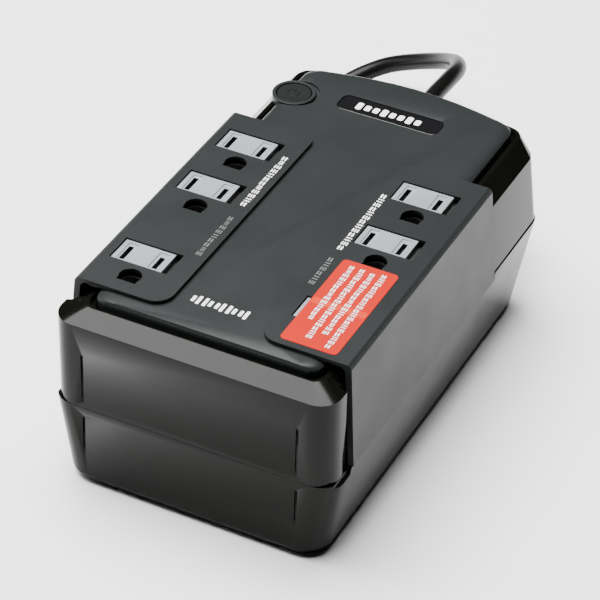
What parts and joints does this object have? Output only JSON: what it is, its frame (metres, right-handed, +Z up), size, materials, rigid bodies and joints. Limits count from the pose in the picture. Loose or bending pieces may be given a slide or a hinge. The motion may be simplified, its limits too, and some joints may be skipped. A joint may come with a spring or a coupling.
{
  "type": "uninterruptible power supply",
  "caption": "Low box-shaped desktop battery backup with two rows of shuttered three-prong outlets, a round power button and a rear power cord.",
  "frame": {"origin": "middle of the footprint, on the surface the feet stand on", "axes": "+X towards the right-hand outlets seen from the blank end, +Y towards the cord end, +Z up"},
  "size_m": [0.1394, 0.2821, 0.0767],
  "materials": {
    "black_shell": "satin",
    "charcoal_panel": "fine grain",
    "shutter_grey": "matte",
    "orange_film": "glossy film",
    "black_plate": "gloss",
    "button_black": "matte",
    "inner_plastic": "matte",
    "brass": "bright",
    "spring_steel": "bright",
    "zinc_screw": "satin",
    "lamination_steel": "rough",
    "winding_tape": "satin",
    "circuit_board": "satin",
    "relay_blue": "satin",
    "heat_sink_metal": "satin",
    "battery_case": "satin",
    "tab_tin": "bright",
    "connector_red": "satin",
    "lamp_green": "clear",
    "glass_fuse": "clear",
    "foot_rubber": "matte",
    "cord_pvc": "satin"
  },
  "bodies": {
    "housing": {"lower_shell": "black_shell", "upper_shell": "black_shell", "deck_panel": "charcoal_panel", "left_wing": "charcoal_panel", "right_wing": "charcoal_panel", "shutter_springs": "spring_steel", "left_socket_block": "inner_plastic", "right_socket_block": "inner_plastic", "neutral_contacts": "brass", "line_contacts": "brass", "ground_contacts": "brass", "orange_label": "orange_film", "nameplate": "black_plate", "button_collar": "charcoal_panel", "button_spring": "spring_steel", "tact_switch": "inner_plastic", "status_light": "lamp_green", "main_board": "circuit_board", "relays": "relay_blue", "capacitors": "battery_case", "heat_sink": "heat_sink_metal", "power_transistors": "inner_plastic", "buzzer": "inner_plastic", "fuse": "glass_fuse", "transformer_core": "lamination_steel", "transformer_winding": "winding_tape", "transformer_bracket": "zinc_screw", "battery": "battery_case", "battery_tabs": "tab_tin", "tab_connectors": "connector_red", "rubber_feet": "foot_rubber", "housing_screws": "zinc_screw", "board_screws": "zinc_screw", "bracket_screws": "zinc_screw", "breaker_body": "inner_plastic", "reset_spring": "spring_steel", "strain_relief": "cord_pvc", "power_cord": "cord_pvc", "cord_hank": "cord_pvc", "hank_tie": "cord_pvc", "cord_tail": "cord_pvc", "plug_body": "cord_pvc", "plug_blades": "brass", "plug_ground_pin": "brass"},
    "shutter_left_1": {"shutter_left_1": "shutter_grey"},
    "shutter_left_2": {"shutter_left_2": "shutter_grey"},
    "shutter_left_3": {"shutter_left_3": "shutter_grey"},
    "shutter_right_1": {"shutter_right_1": "shutter_grey"},
    "shutter_right_2": {"shutter_right_2": "shutter_grey"},
    "shutter_right_3": {"shutter_right_3": "shutter_grey"},
    "power_button": {"power_button": "button_black"},
    "reset_button": {"reset_button": "button_black"},
    "battery_door": {"battery_door": "black_shell"}
  },
  "joints": [
    {"name": "shutter_left_1_slide", "type": "slide", "parent": "housing", "child": "shutter_left_1", "axis": [1, 0, 0], "range_m": [0, 0.0021], "stiffness_N_per_m": 60},
    {"name": "shutter_left_2_slide", "type": "slide", "parent": "housing", "child": "shutter_left_2", "axis": [1, 0, 0], "range_m": [0, 0.0021], "stiffness_N_per_m": 60},
    {"name": "shutter_left_3_slide", "type": "slide", "parent": "housing", "child": "shutter_left_3", "axis": [1, 0, 0], "range_m": [0, 0.0021], "stiffness_N_per_m": 60},
    {"name": "shutter_right_1_slide", "type": "slide", "parent": "housing", "child": "shutter_right_1", "axis": [1, 0, 0], "range_m": [0, 0.0021], "stiffness_N_per_m": 60},
    {"name": "shutter_right_2_slide", "type": "slide", "parent": "housing", "child": "shutter_right_2", "axis": [1, 0, 0], "range_m": [0, 0.0021], "stiffness_N_per_m": 60},
    {"name": "shutter_right_3_slide", "type": "slide", "parent": "housing", "child": "shutter_right_3", "axis": [1, 0, 0], "range_m": [0, 0.0021], "stiffness_N_per_m": 60},
    {"name": "power_button_press", "type": "slide", "parent": "housing", "child": "power_button", "axis": [0, 0, -1], "range_m": [0, 0.001], "stiffness_N_per_m": 400, "springref_m": -0.001},
    {"name": "reset_button_press", "type": "slide", "parent": "housing", "child": "reset_button", "axis": [0, -1, 0], "range_m": [0, 0.002], "stiffness_N_per_m": 400},
    {"name": "battery_door_removal", "type": "slide", "parent": "housing", "child": "battery_door", "axis": [0, 0, -1], "range_m": [0, 0.04]}
  ]
}
